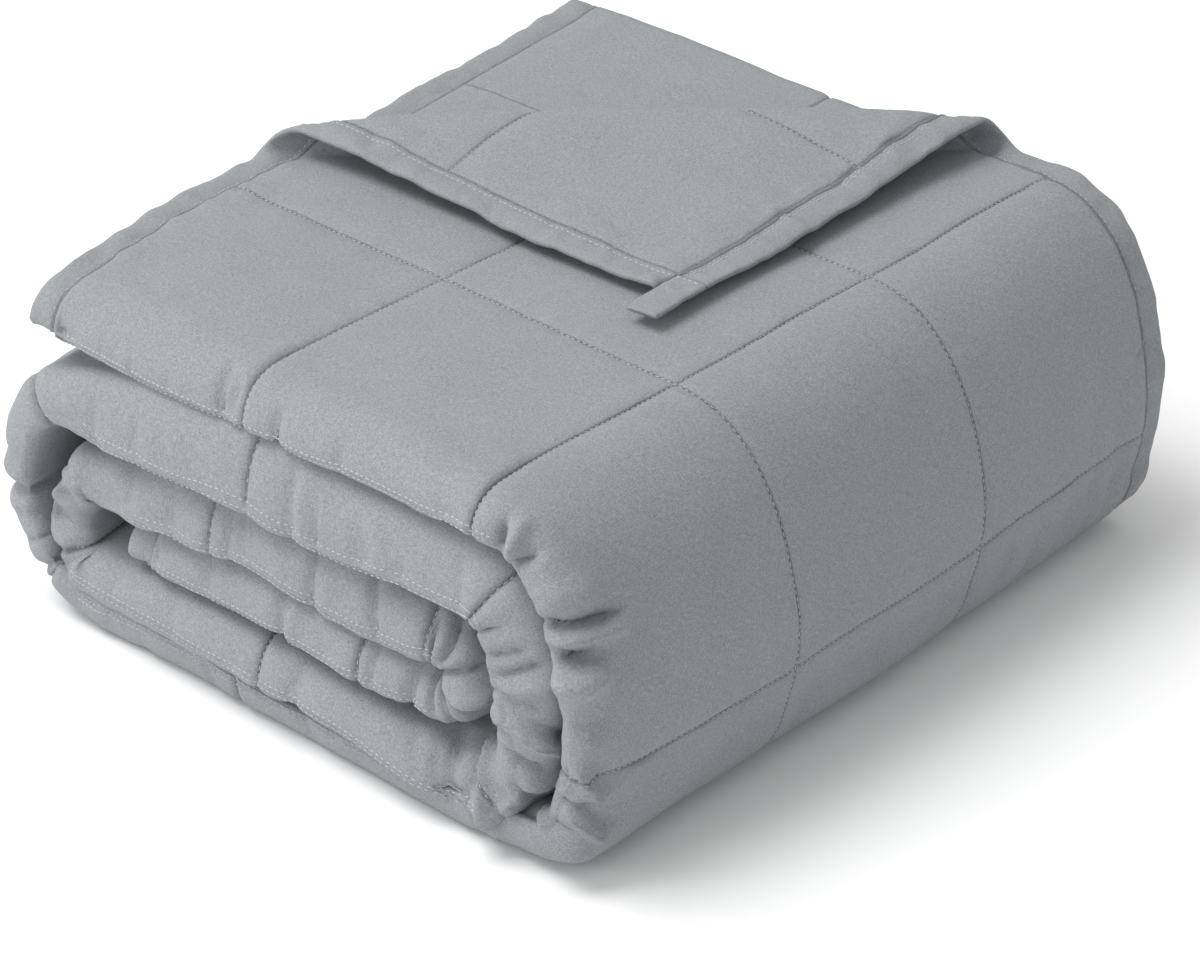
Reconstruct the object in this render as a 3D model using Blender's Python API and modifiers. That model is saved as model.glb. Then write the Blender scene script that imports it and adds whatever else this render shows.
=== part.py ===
"""Weighted blanket, folded lengthwise in thirds and then rolled flat into six layers.

The blanket is modelled as it is sewn: a flat quilt of 9 by 16 squares with a bound edge. Every point of
the flat cloth has a distance u from the free end and a distance v from the outer side edge. fold_sheet
carries (u, v) through the letter fold (three plies), through the turned-back corner and along the roll.
"""
import bmesh
import bpy
import numpy as np

MM = 0.001

# ---- the flat blanket, in millimetres ----
CELL = 132.0               # one quilted square, seam to seam
CELLS_WIDE = 9
CELLS_LONG = 16
BINDING = 16.0             # width of the bound edge
WIDTH = CELLS_WIDE * CELL + 2 * BINDING
LENGTH = CELLS_LONG * CELL + 2 * BINDING
CROWN = 8.2                # thickness of a filled square at its middle
SEAM = 2.8                 # thickness where it is stitched through
HEM = 3.0                  # thickness of the binding
FILL_POWER = 0.38          # low values keep a square full right up to its seams
GAP = 0.8                  # between pieces that touch
FLAT_PRESS = 1.4           # how far the lowest squares press into the surface

# ---- letter fold: outer ply, inner ply and the ply between them ----
FOLD_SEAM = BINDING + 3 * CELL      # seam at the front crease, outer ply to inner ply
BACK_SEAM = BINDING + 6 * CELL      # seam where the inner ply turns back into the middle one
PLY_PITCH = 9.33                    # from one ply to the next
CREASE = 3.0                        # depth of the fold on the crease's flat side
HIDDEN_EDGE = 32.0
END_SQUEEZE = 0.85                   # ply pitch at the two bound ends, as a share of PLY_PITCH

# ---- corner turned back at the free end ----
CORNER_FOLD = 183.0                 # distance of the fold line from the corner
CORNER_DIR = np.array([0.712, 0.702])
CORNER_DIR = CORNER_DIR / np.linalg.norm(CORNER_DIR)
CORNER_ROLL = 8.0                   # radius of the rolled fold
CORNER_REST = 10.2                  # height of the flap's middle above the ply it lies on
CORNER_SETTLE = 60.0                # distance over which the flap comes down to that height
CORNER_HUMP = 7.0                   # how much higher the rolled fold stands halfway along it
CORNER_HALF = 190.0                 # half the length of the fold
CORNER_SKEW = 0.06                  # how far the flap slides along the fold, for each millimetre turned over
LOOP_LENGTH = 37.0                  # binding doubled into a flat loop that starts at the corner's stitches

# ---- front corner of the free end, drawn in under its own weight ----
DRAWN_IN = 15.0                     # how far the corner moves towards the roll
DRAWN_LONG = 110.0                  # how far along the cloth that reaches
DRAWN_WIDE = 130.0                  # how far back from the front it reaches

# ---- the two lower plies slip out from under the top one towards the back of the free end ----
SLIP = 27.0                         # how far, at the back edge
SLIP_FROM = 190.0                   # where it starts, from the front
SLIP_LONG = 240.0                   # how far along the cloth it fades out

# ---- the rounded right end is narrower at the back and spreads over the floor ----
TAPER = 8.0                        # how much shorter the roll is along its back
FLARE = 9.0                         # how far the foot of the right end spreads
FRONT_FLARE = 9.0                   # and how much further at the front corner
FLARE_HIGH = 45.0                   # height at which that has died out
TAPER_FROM = 90.0                  # how far back the shortening starts
TAPER_OVER = 340.0                  # and over what depth it sets in
BULGE = 5.0                         # how far the middle of the right end swells
BULGE_DEEP = 200.0                  # how far back that middle is
BULGE_HIGH = 85.0                   # and how high
RIGHT_FROM = 230.0                  # where along x both begin
RIGHT_OVER = 90.0                   # and over what length they set in

# ---- the roll, in its x-z section: turns in the order the cloth meets them ----
START_X = -4.0
START_Z = 159.0
# side: +1 turns at large x, -1 at small x; start_x: where the turn begins; reach: how far it bulges;
# end_z: height of the layer after it; sag: how low its widest place hangs; square: 2 is an ellipse
TURN_COLUMNS = ("side", "start_x", "reach", "end_z", "sag", "square")
TURNS = (
    (+1, 266.0, 68.0, 14.0, 0.62, 3.7),
    (-1, 62.0, 63.0, 131.0, 0.00, 2.9),
    (+1, 272.0, 34.0, 42.0, 0.45, 2.9),
    (-1, 41.0, 13.0, 103.0, 0.00, 2.0),
    (+1, 254.0, 15.0, 70.0, 0.10, 2.0),
)
# at the front: crease_y is where the crease stands, drop how far the layer hangs there, swell its
# thickness against the middle of the roll, lean -1 puts the crease on the inner ply and +1 on the outer,
# wrap the depth of the front that the ply without the crease rounds.
# The first column is the distance along the cloth at which a row holds.
FRONT_COLUMNS = ("along", "crease_y", "drop", "swell", "lean", "wrap")
FRONT = (
    (0.0, 5.0, 0.0, 1.00, -1.0, 25.0),
    (216.0, 5.0, 0.0, 1.00, -1.0, 22.0),
    (330.0, 5.0, 1.5, 0.95, -0.5, 18.0),
    (403.0, 5.0, 3.0, 0.90, 0.15, 14.0),
    (485.0, 4.0, 0.5, 0.75, -0.5, 12.0),
    (545.0, 3.0, 5.5, 0.55, -1.0, 9.0),
    (638.0, 3.0, 4.0, 0.65, -1.0, 9.0),
    (700.0, 3.0, 1.5, 0.85, -1.0, 9.0),
    (853.0, 0.0, 3.0, 0.90, -0.7, 10.0),
    (985.0, 0.0, 9.6, 1.50, -1.0, 13.0),
    (1072.0, 0.0, 6.7, 1.75, -1.0, 13.0),
    (1240.0, 3.0, 4.0, 1.35, -1.0, 15.0),
    (1298.0, 1.0, 8.0, 1.00, 0.8, 16.0),
    (1345.0, -2.0, 17.0, 0.85, 0.95, 16.0),
    (1400.0, -2.0, 9.5, 0.90, 0.9, 15.0),
    (1448.0, -2.0, 7.5, 1.00, 0.8, 15.0),
    (1603.0, 1.0, 11.0, 1.05, 0.0, 14.0),
    (1648.0, 2.0, 20.0, 1.00, -0.3, 14.0),
    (1680.0, 3.0, 22.8, 1.18, -0.8, 13.0),
    (1720.0, 3.0, 16.1, 1.43, -0.9, 13.0),
    (1770.0, 3.0, 12.7, 1.20, -0.9, 13.0),
    (1840.0, 4.0, 14.7, 1.60, -0.8, 13.0),
    (1885.0, 5.0, 17.0, 1.10, -0.5, 15.0),
    (1916.0, 5.0, 17.0, 0.95, 0.0, 15.0),
    (1965.0, 4.0, 12.0, 1.00, 0.6, 14.0),
    (2049.0, 3.0, 5.5, 1.10, 0.9, 13.0),
    (2144.0, 4.0, 10.5, 0.95, 0.9, 13.0),
)
FRONT_REACH = 85.0                  # how far back from the crease those front values fade out
# the cloth slides along itself as it is rolled: distance u, slide on the faces, slide at the front crease
EASE = (
    (0.0, 0.0, 0.0), (148.0, 0.0, -1.0), (280.0, 3.0, 3.0), (412.0, 14.0, 16.0), (544.0, 0.0, -19.0),
    (676.0, 0.0, -14.0), (808.0, 0.0, -18.0), (940.0, 0.0, -30.0), (1072.0, 0.0, -18.0),
    (1204.0, 0.0, -5.0), (1336.0, 0.0, -23.0), (1468.0, 0.0, -18.0), (1600.0, 0.0, -8.0),
    (1732.0, 0.0, 17.0), (1864.0, 0.0, 13.0), (1996.0, 0.0, 4.0), (2144.0, 0.0, 0.0),
)
EASE_REACH = 110.0                  # how far from the crease the front's slide reaches

# ---- steps along the flat cloth ----
SHOULDER = 0.12                     # where a square has risen to most of its height
FLAT_STEPS = (0.0, SHOULDER, 0.5, 1.0 - SHOULDER)
BENT_STEPS = (0.0, 0.14, 0.38, 0.62, 0.86)
INNER_STEPS = (0.0, 0.28, 0.72)
HIDDEN_STEPS = (0.0, 0.5)
BACK_STEPS = (0.25, 0.5, 0.75)      # along the half circle of the back fold
ROLL_STEPS = 8                      # facets round the turned-back corner's fold

CLOTH_GREY = (0.335, 0.366, 0.389, 1.0)
BINDING_GREY = (0.318, 0.350, 0.374, 1.0)


def smooth(t):
    """Ease from 0 to 1 with level ends."""
    t = np.clip(t, 0.0, 1.0)
    return t * t * (3.0 - 2.0 * t)


def fill_profile(t):
    """How a square fills from one seam, t = 0, to the next, t = 1."""
    return np.sin(np.pi * t).clip(0.0) ** FILL_POWER


def roll_path():
    """Centre line of the rolled layers: x, z, unit normal and the distance u along the outer ply."""
    xs = [np.array([START_X])]
    zs = [np.array([START_Z])]
    layer_z = START_Z
    marks = []
    for row in TURNS:
        turn = dict(zip(TURN_COLUMNS, row))
        x0 = xs[-1][-1]
        run = np.linspace(x0, turn["start_x"], 160)[1:]
        xs.append(run)
        zs.append(np.full(run.size, layer_z))
        marks.append(sum(part.size for part in xs))
        angle = np.linspace(0.0, np.pi, 241)[1:]
        fall = (1.0 - np.cos(angle)) / 2.0
        fall = fall + turn["sag"] * fall * (1.0 - fall)
        bulge = np.sin(angle).clip(0.0) ** (2.0 / turn["square"])
        xs.append(turn["start_x"] + turn["side"] * turn["reach"] * bulge)
        zs.append(layer_z + (turn["end_z"] - layer_z) * fall)
        marks.append(sum(part.size for part in xs))
        layer_z = turn["end_z"]
    tail = np.linspace(xs[-1][-1], xs[-1][-1] - 330.0, 331)[1:]
    xs.append(tail)
    zs.append(np.full(tail.size, layer_z))
    centre = np.stack([np.concatenate(xs), np.concatenate(zs)], axis=1)
    step = np.linalg.norm(np.diff(centre, axis=0), axis=1)
    along = np.concatenate([[0.0], np.cumsum(step)])
    even = np.arange(0.0, along[-1], 1.0)
    centre = np.stack([np.interp(even, along, centre[:, k]) for k in (0, 1)], axis=1)
    tangent = np.gradient(centre, axis=0)
    kernel = np.hanning(13)
    kernel = kernel / kernel.sum()
    padded = np.pad(tangent, ((6, 6), (0, 0)), mode="edge")
    tangent = np.stack([np.convolve(padded[:, k], kernel, mode="valid") for k in (0, 1)], axis=1)
    tangent = tangent / np.linalg.norm(tangent, axis=1, keepdims=True)
    normal = np.stack([-tangent[:, 1], tangent[:, 0]], axis=1)
    outer = centre + PLY_PITCH * normal
    step = np.linalg.norm(np.diff(outer, axis=0), axis=1)
    u = np.concatenate([[0.0], np.cumsum(step)])
    mark_u = np.interp(along[np.array(marks) - 1], even, u)
    return {"u": u, "centre": centre, "normal": normal, "marks": mark_u}


PATH = roll_path()


def turn_corner(u, v):
    """Fold the cloth's outer corner back on itself; returns new u, v and the height over its ply."""
    beyond = CORNER_FOLD - (CORNER_DIR[0] * u + CORNER_DIR[1] * v)
    half_round = np.pi * CORNER_ROLL
    on_roll = np.clip(beyond, 0.0, half_round) / CORNER_ROLL
    lying = np.maximum(beyond - half_round, 0.0)
    shift = beyond.clip(0.0) - CORNER_ROLL * np.sin(on_roll) + lying
    rest = CORNER_REST - 2.0 * CORNER_ROLL
    height = CORNER_ROLL * (1.0 - np.cos(on_roll)) + rest * smooth(lying / CORNER_SETTLE)
    along = CORNER_DIR[1] * u - CORNER_DIR[0] * v
    arch = (1.0 - (along / CORNER_HALF) ** 2).clip(0.0)
    hump = CORNER_HUMP * arch * smooth(on_roll / np.pi) * smooth(1.0 - lying / (2.0 * CORNER_SETTLE))
    height = height + hump
    skew = CORNER_SKEW * lying
    turned_u = u + CORNER_DIR[0] * shift + CORNER_DIR[1] * skew
    turned_v = v + CORNER_DIR[1] * shift - CORNER_DIR[0] * skew
    return turned_u, turned_v, height


def letter_fold(u, v):
    """Place v across the folded width: returns y and the offset w from the layer's middle."""
    front = dict(zip(FRONT_COLUMNS, np.array(FRONT).T))
    values = {name: np.interp(u, front["along"], column) for name, column in front.items()}
    near_end = fill_profile((np.minimum(u, LENGTH - u) - BINDING).clip(0.0, CELL / 2.0) / CELL)
    pitch = PLY_PITCH * (END_SQUEEZE + (1.0 - END_SQUEEZE) * near_end)
    lean = values["lean"]
    from_crease = np.abs(v - FOLD_SEAM)
    outer = v < FOLD_SEAM
    wrap = values["wrap"]
    depth = CREASE + (wrap - CREASE) * np.where(outer, 1.0 - lean, 1.0 + lean) / 2.0
    rise = pitch * np.where(outer, 1.0 - lean, 1.0 + lean)
    arc = (np.pi / 2.0) * np.sqrt((depth ** 2 + rise ** 2) / 2.0)
    turn = np.minimum(from_crease / arc, 1.0) * np.pi / 2.0
    y = depth * (1.0 - np.cos(turn)) + np.maximum(from_crease - arc, 0.0)
    w = pitch * lean + np.where(outer, 1.0, -1.0) * rise * np.sin(turn)
    inner_depth = CREASE + (wrap - CREASE) * (1.0 + lean) / 2.0
    inner_rise = pitch * (1.0 + lean)
    inner_arc = (np.pi / 2.0) * np.sqrt((inner_depth ** 2 + inner_rise ** 2) / 2.0)
    back_y = inner_depth + (BACK_SEAM - FOLD_SEAM) - inner_arc
    back_arc = np.pi * pitch / 2.0
    past = v - BACK_SEAM
    back_turn = np.clip(past / back_arc, 0.0, 1.0) * np.pi
    middle = np.clip((past - back_arc) / (WIDTH - BACK_SEAM - back_arc), 0.0, None)
    y_back = back_y + pitch / 2.0 * np.sin(back_turn) - middle * (back_y - HIDDEN_EDGE)
    w_back = -pitch / 2.0 * (1.0 + np.cos(back_turn))
    y = np.where(past > 0.0, y_back, y)
    w = np.where(past > 0.0, w_back, w)
    fade = smooth(1.0 - y / FRONT_REACH)
    swell = 1.0 + (values["swell"] - 1.0) * fade
    return y + values["crease_y"], w * swell, values["drop"] * fade, swell


def ease(u, v):
    """How far the cloth has slid along the roll, on its faces and, near the crease, at the front."""
    table = np.array(EASE)
    near = smooth(1.0 - np.abs(v - FOLD_SEAM) / EASE_REACH)
    face = np.interp(u, table[:, 0], table[:, 1])
    return face + near * (np.interp(u, table[:, 0], table[:, 2]) - face)


def fold_sheet(u, v):
    """Carry flat points (u, v) to x, y, z of the folded and rolled blanket, all in millimetres."""
    u = u + ease(u, v)
    u, v, height = turn_corner(u, v)
    y, w, drop, _ = letter_fold(u, v)
    w = w + height
    x = np.interp(u, PATH["u"], PATH["centre"][:, 0]) + w * np.interp(u, PATH["u"], PATH["normal"][:, 0])
    z = np.interp(u, PATH["u"], PATH["centre"][:, 1]) + w * np.interp(u, PATH["u"], PATH["normal"][:, 1])
    z = z - drop
    drawn = DRAWN_IN * smooth(1.0 - u / DRAWN_LONG) * smooth(1.0 - y / DRAWN_WIDE)
    back = ((y - SLIP_FROM) / (WIDTH / 3.0 - SLIP_FROM)).clip(0.0)
    slip = np.where(v > FOLD_SEAM, SLIP * back * smooth(1.0 - u / SLIP_LONG), 0.0)
    right = smooth((x - RIGHT_FROM) / RIGHT_OVER)
    taper = TAPER * smooth((y - TAPER_FROM) / TAPER_OVER)
    flare = (FLARE + FRONT_FLARE * smooth(1.0 - y / FRONT_REACH)) * smooth(1.0 - z / FLARE_HIGH)
    bulge = BULGE * (1.0 - (y / BULGE_DEEP - 1.0) ** 2).clip(0.0)
    bulge = bulge * (1.0 - (z / BULGE_HIGH - 1.0) ** 2).clip(0.0)
    return np.stack([x + drawn - slip + right * (flare + bulge - taper), y, z], axis=-1)


def fullness(u, v):
    """How far a point is filled: 0 on every seam, 1 in the middle of a square that isn't squeezed."""
    filled = fill_profile((v - BINDING) / CELL % 1.0) * fill_profile((u - BINDING) / CELL % 1.0)
    swell = letter_fold(u, v)[3]
    return filled * ((swell * CROWN - SEAM) / (CROWN - SEAM)).clip(0.0, 1.0)


def square_lines(first, count, steps_of):
    """Grid lines through count squares from the distance first, with steps_of(k) inside square k."""
    lines = [first + CELL * (k + step) for k in range(count) for step in steps_of(k)]
    return lines + [first + CELL * count]


def long_lines():
    """Lines along the blanket, closer together where the cloth goes round a turn."""
    marks = PATH["marks"]

    def steps(k):
        low = BINDING + CELL * k
        bent = [min(low + CELL, b) - max(low, a) > CELL * 0.2 for a, b in zip(marks[0::2], marks[1::2])]
        return BENT_STEPS if any(bent) else FLAT_STEPS

    return square_lines(BINDING, CELLS_LONG, steps)


def wide_lines():
    """Lines across the blanket: full squares on the two outer plies, few on the hidden one."""
    def steps(k):
        if k == 2:
            return FLAT_STEPS[:-1] + (0.78, 0.87, 0.94)
        if k == 3:
            return (0.0, 0.06, 0.13, 0.22) + FLAT_STEPS[2:]
        if k in (4, 5):
            return INNER_STEPS
        return FLAT_STEPS if k < 4 else HIDDEN_STEPS

    lines = square_lines(BINDING, CELLS_WIDE, steps)
    back_arc = np.pi * PLY_PITCH / 2.0
    return sorted(lines + [BACK_SEAM + back_arc * step for step in BACK_STEPS + (1.0,)])


def material(name, colour):
    """Soft matt cloth."""
    made = bpy.data.materials.new(name)
    made.use_nodes = True
    made.diffuse_color = colour
    surface = made.node_tree.nodes["Principled BSDF"]
    surface.inputs["Base Color"].default_value = colour
    surface.inputs["Roughness"].default_value = 0.92
    surface.inputs["Metallic"].default_value = 0.0
    return made


def sheet(name, u_lines, v_lines, crown, colour, collection):
    """A piece of the flat blanket between the given lines, folded, then given its thickness."""
    u_lines = np.array(u_lines)
    v_lines = np.array(v_lines)
    bm = bmesh.new()
    nu = len(u_lines) - 1
    nv = len(v_lines) - 1
    bmesh.ops.create_grid(bm, x_segments=nu, y_segments=nv, size=0.5)
    for vert in bm.verts:
        i = round((vert.co.x + 0.5) * nu)
        j = round((vert.co.y + 0.5) * nv)
        vert.co = (u_lines[i], v_lines[j], 0.0)
    half_round = np.pi * CORNER_ROLL
    cuts = [half_round * step / ROLL_STEPS for step in range(ROLL_STEPS + 1)]
    for cut in cuts:
        place = CORNER_DIR * (CORNER_FOLD - cut)
        geometry = bm.verts[:] + bm.edges[:] + bm.faces[:]
        bmesh.ops.bisect_plane(bm, geom=geometry, dist=0.05, plane_co=(place[0], place[1], 0.0),
                               plane_no=(CORNER_DIR[0], CORNER_DIR[1], 0.0))
    mesh = bpy.data.meshes.new(name)
    bm.to_mesh(mesh)
    bm.free()
    flat = np.zeros(len(mesh.vertices) * 3)
    mesh.vertices.foreach_get("co", flat)
    flat = flat.reshape(-1, 3)
    folded = fold_sheet(flat[:, 0], flat[:, 1]) * MM
    mesh.vertices.foreach_set("co", folded.ravel())
    mesh.update()
    piece = bpy.data.objects.new(name, mesh)
    collection.objects.link(piece)
    group = piece.vertex_groups.new(name="filled")
    filled = fullness(flat[:, 0], flat[:, 1]) if crown > HEM else np.ones(len(flat))
    for index, weight in enumerate(filled):
        group.add([index], float(weight), "REPLACE")
    solid = piece.modifiers.new("thickness", "SOLIDIFY")
    solid.thickness = crown * MM
    solid.offset = 0.0
    solid.use_quality_normals = True
    solid.vertex_group = group.name
    solid.thickness_vertex_group = SEAM / crown if crown > HEM else 1.0
    mesh.materials.append(material(name, colour))
    return piece


def settle(pieces):
    """Press the lowest squares flat on z = 0 and centre the whole over the origin."""
    graph = bpy.context.evaluated_depsgraph_get()
    solids = []
    for piece in pieces:
        mesh = bpy.data.meshes.new_from_object(piece.evaluated_get(graph))
        points = np.zeros(len(mesh.vertices) * 3)
        mesh.vertices.foreach_get("co", points)
        solids.append((piece, mesh, points.reshape(-1, 3)))
    low = np.min([points.min(axis=0) for _, _, points in solids], axis=0)
    high = np.max([points.max(axis=0) for _, _, points in solids], axis=0)
    middle = (low + high) / 2.0
    floor = low[2] + FLAT_PRESS * MM
    for piece, mesh, points in solids:
        points = points - np.array([middle[0], middle[1], floor])
        points[:, 2] = points[:, 2].clip(0.0)
        mesh.vertices.foreach_set("co", points.ravel())
        mesh.polygons.foreach_set("use_smooth", np.ones(len(mesh.polygons), dtype=bool))
        mesh.update()
        piece.modifiers.clear()
        piece.vertex_groups.clear()
        piece.data = mesh


def main():
    for old in list(bpy.data.objects):
        bpy.data.objects.remove(old, do_unlink=True)
    blanket = bpy.data.collections.new("weighted_blanket")
    bpy.context.scene.collection.children.link(blanket)

    along = long_lines()
    across = wide_lines()
    ends = (BINDING - GAP, LENGTH - BINDING + GAP)
    sides = (BINDING - GAP, WIDTH - BINDING + GAP)
    past_loop = [BINDING + GAP] + across[1:] + [WIDTH]
    whole_width = [0.0] + across + [WIDTH]
    pieces = [
        sheet("quilt", along, across, CROWN, CLOTH_GREY, blanket),
        sheet("binding_side", along, (0.0, sides[0]), HEM, BINDING_GREY, blanket),
        sheet("binding_side_inner", along, (sides[1], WIDTH), HEM, BINDING_GREY, blanket),
        sheet("binding_end", (0.0, ends[0]), past_loop, HEM, BINDING_GREY, blanket),
        sheet("binding_end_inner", (ends[1], LENGTH), whole_width, HEM, BINDING_GREY, blanket),
        sheet("corner_loop", (ends[0] - LOOP_LENGTH, ends[0]), (0.0, BINDING), HEM, BINDING_GREY, blanket),
    ]
    settle(pieces)


main()
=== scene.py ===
import math

import bpy
import numpy as np
from mathutils import Matrix


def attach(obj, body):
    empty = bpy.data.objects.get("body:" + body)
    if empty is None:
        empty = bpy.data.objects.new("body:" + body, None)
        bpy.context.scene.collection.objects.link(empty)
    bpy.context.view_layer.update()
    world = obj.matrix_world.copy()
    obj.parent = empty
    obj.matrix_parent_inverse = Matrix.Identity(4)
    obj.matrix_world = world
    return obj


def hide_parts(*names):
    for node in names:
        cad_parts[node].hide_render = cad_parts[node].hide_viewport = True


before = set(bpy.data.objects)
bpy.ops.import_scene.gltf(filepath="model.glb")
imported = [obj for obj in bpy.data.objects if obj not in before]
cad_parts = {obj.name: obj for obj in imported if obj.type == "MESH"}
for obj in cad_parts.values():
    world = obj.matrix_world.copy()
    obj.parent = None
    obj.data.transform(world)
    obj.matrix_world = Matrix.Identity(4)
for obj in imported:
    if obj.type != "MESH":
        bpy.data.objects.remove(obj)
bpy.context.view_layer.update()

# Weighted blanket, folded in thirds and rolled flat. Every point of the cloth is named by its place on the
# flat blanket: u from the free end, v from the outer side edge, both in millimetres.

MM = 0.001

# ---- the flat blanket ----
CELL = 132.0                # side of a sewn square
CELLS_WIDE = 9
CELLS_LONG = 16
BINDING = 16.0              # width of the edge tape
WIDTH = CELLS_WIDE * CELL + 2 * BINDING
LENGTH = CELLS_LONG * CELL + 2 * BINDING
CROWN = 8.2                 # thickness in the middle of a square
SEAM = 2.8                  # thickness on a sewn line
FILL_POWER = 0.38           # the lower, the sooner a square is full beside its seam

# ---- letter fold ----
FOLD_SEAM = BINDING + 3 * CELL      # the sewn line on the front crease
BACK_SEAM = BINDING + 6 * CELL      # the sewn line on the back fold
PLY_PITCH = 9.33            # from the middle of one ply to the next
CREASE = 3.0                # how deep the crease rounds where it is tightest
HIDDEN_EDGE = 32.0          # how far the tucked edge lies behind the front crease
END_SQUEEZE = 0.85          # how close the plies lie at the blanket's two ends

# ---- corner turned back ----
CORNER_FOLD = 183.0         # from the flat corner to the fold line
CORNER_DIR = np.array([0.712, 0.702])       # that way, square to the fold line
CORNER_DIR = CORNER_DIR / np.linalg.norm(CORNER_DIR)
CORNER_ROLL = 8.0           # radius of the fold
CORNER_REST = 10.2          # height at which the turned cloth lies
CORNER_SETTLE = 60.0        # how far past the fold it reaches that height
CORNER_HUMP = 7.0           # how much the fold arches in its middle
CORNER_HALF = 190.0         # half the length that arches
CORNER_SKEW = 0.06          # slide along the fold, for each millimetre past it
CORNER_RIPPLE = 1.1         # how much the turned cloth ripples, and how wide a ripple is
CORNER_RIPPLE_WIDE = 34.0
LOOP_LENGTH = 37.0
LOOP_ROOT = 15.2            # where the loop comes out of the end tape, as a distance u

# ---- how the folded pile stands ----
DRAWN_IN = 15.0             # the free end is drawn to the right at the front
DRAWN_LONG = 110.0
DRAWN_WIDE = 130.0
SLIP = 27.0                 # the lower plies slide out under the free end at the back
SLIP_FROM = 190.0
SLIP_LONG = 240.0
TAPER = 8.0                 # the right side draws in towards the back
TAPER_FROM = 90.0
TAPER_OVER = 340.0
FLARE = 9.0                 # the right side stands out at its foot
FLARE_HIGH = 45.0
FRONT_FLARE = 9.0           # and more so at the front
BULGE = 5.0                 # the right side bulges round this depth and height
BULGE_DEEP = 200.0
BULGE_HIGH = 85.0
RIGHT_FROM = 230.0          # where the right side begins
RIGHT_OVER = 90.0

# ---- the roll, in its own section ----
START_X = -4.0              # where the free end lies on top
START_Z = 159.0
RUN_POINTS = 160            # points along a level run, and round a turn
TURN_POINTS = 241
TAIL = 330.0                # level length after the last turn
PATH_SMOOTHING = 13         # steps of a millimetre that the roll's direction is smoothed over
# each turn: which side, where it starts, how far out it reaches, its lower end, its sag, how square it is
TURN_COLUMNS = ("side", "start_x", "reach", "end_z", "sag", "square")
TURNS = (
    (+1, 266.0, 68.0, 14.0, 0.62, 3.7),
    (-1, 62.0, 63.0, 131.0, 0.00, 2.9),
    (+1, 272.0, 34.0, 42.0, 0.45, 2.9),
    (-1, 41.0, 13.0, 103.0, 0.00, 2.0),
    (+1, 254.0, 15.0, 70.0, 0.10, 2.0),
)
# the front, along the roll: where the crease stands, how far it drops, how full the layer is, which ply the
# crease lies level with (1 the outer, -1 the inner) and how deep it rounds
FRONT_COLUMNS = ("along", "crease_y", "drop", "swell", "lean", "wrap")
FRONT = (
    (0, 5, 2, 1.05, -1, 25), (100, 5, 2.5, 1.15, -1, 23), (216, 5, 0, 1.00, -1, 22),
    (330, 5, 1.5, 0.84, -0.5, 18), (403, 5, 3, 0.72, 0.15, 14), (470, 4, 0, 0.80, -0.6, 12),
    (512, 3, -1.5, 1.00, -1, 10), (545, 3, 2.5, 0.80, -1, 9), (638, 3, 3.5, 0.70, -1, 9),
    (700, 3, 1.5, 0.85, -1, 9), (853, 0, 3, 0.90, -0.6, 10), (908, 0, 8, 1.00, -0.6, 10),
    (938, 0, 13, 1.30, -0.3, 10), (962, 0, 11.5, 1.75, -0.9, 10), (985, 0, 6.5, 1.95, -1, 13),
    (1030, 0, 4.5, 2.00, -1, 13), (1072, 0, 5.4, 1.95, -1, 13), (1240, 3, 4, 1.35, -1, 15),
    (1298, 1, 9.5, 1.15, 0.8, 16), (1345, -2, 17, 0.85, 0.95, 16), (1400, -2, 9.5, 0.90, 0.9, 15),
    (1448, -2, 7.5, 1.00, 0.8, 15), (1600, 1, 12, 1.05, 0.2, 12), (1640, 2, 29, 1.00, 0.8, 12),
    (1680, 3, 22.8, 1.18, -0.8, 13), (1720, 3, 16.1, 1.43, -0.9, 13), (1770, 3, 12.7, 1.20, -0.9, 13),
    (1840, 4, 14.7, 1.60, -0.8, 13), (1885, 5, 17, 1.10, -0.5, 15), (1916, 5, 17, 0.95, 0, 15),
    (1965, 4, 12, 1.00, 0.6, 14), (2049, 3, 5.5, 1.10, 0.9, 13), (2144, 4, 10.5, 0.95, 0.9, 13),
)
FRONT_REACH = 85.0          # how far behind the crease drop and swell have died away
# the roll's cloth slides along itself where it turns: u, slide on the faces, slide at the front crease
EASE = (
    (0, 0, 0), (148, 0, -1), (280, 3, 3), (412, 14, 16), (544, 0, -19),
    (676, 0, -14), (808, 0, -18), (940, 0, -30), (1072, 0, -18),
    (1204, 0, -5), (1336, 0, -23), (1468, 0, -18), (1600, 0, -8),
    (1732, 0, 17), (1864, 0, 13), (1996, 0, 4), (2144, 0, 0),
)
EASE_REACH = 110.0          # how far from the crease the front's own slide has died away
PLACE = np.array([159.382, 206.182, 1.97])      # from the roll's own section to the part's origin

# ---- soft relief of the cloth, in millimetres ----
SEAM_WAVER = 1.3            # how far the sewn lines wander
CREASE_WAVER = 1.0          # how far the front crease rises, falls and stands out
PUCKER = 0.55               # gathers beside the sewn lines on the flat faces
PUCKER_FRONT = 0.75         # and along the folded front
PUCKER_PEAK = 5.0           # how far from the line they are highest
PINCH = 0.55                # narrow dents that run out from the sewn lines on the flat faces
PINCH_FRONT = 3.00          # and along the folded front
PINCH_REACH = 8.0           # how far they run out
PINCH_SLANT = 0.45          # how far they may lean from square to the line
PINCH_NARROW = 0.19         # how narrow they are
PINCH_BY_TAPE = 2.4         # how much stronger they are beside the outer tapes
PINCH_APART = 14.0          # about how far apart they are on a seam along the blanket
CROSS_APART = 12.0          # and on a cross seam, where they have this share of the depth
CROSS_SHARE = 0.6
TAPE_WAVE = 0.8             # how far the cloth waves beside the outer tapes
TAPE_REACH = 30.0           # and how wide the strip is that they gather
GROOVE = 1.0                # how deep a cross seam is drawn in at the front
GROOVE_HALF = 1.4           # half the width of that groove
SHOULDER = 1.10             # how much fuller the cloth stands beside a cross seam at the front
BROAD = 0.9                 # uneven filling
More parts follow.
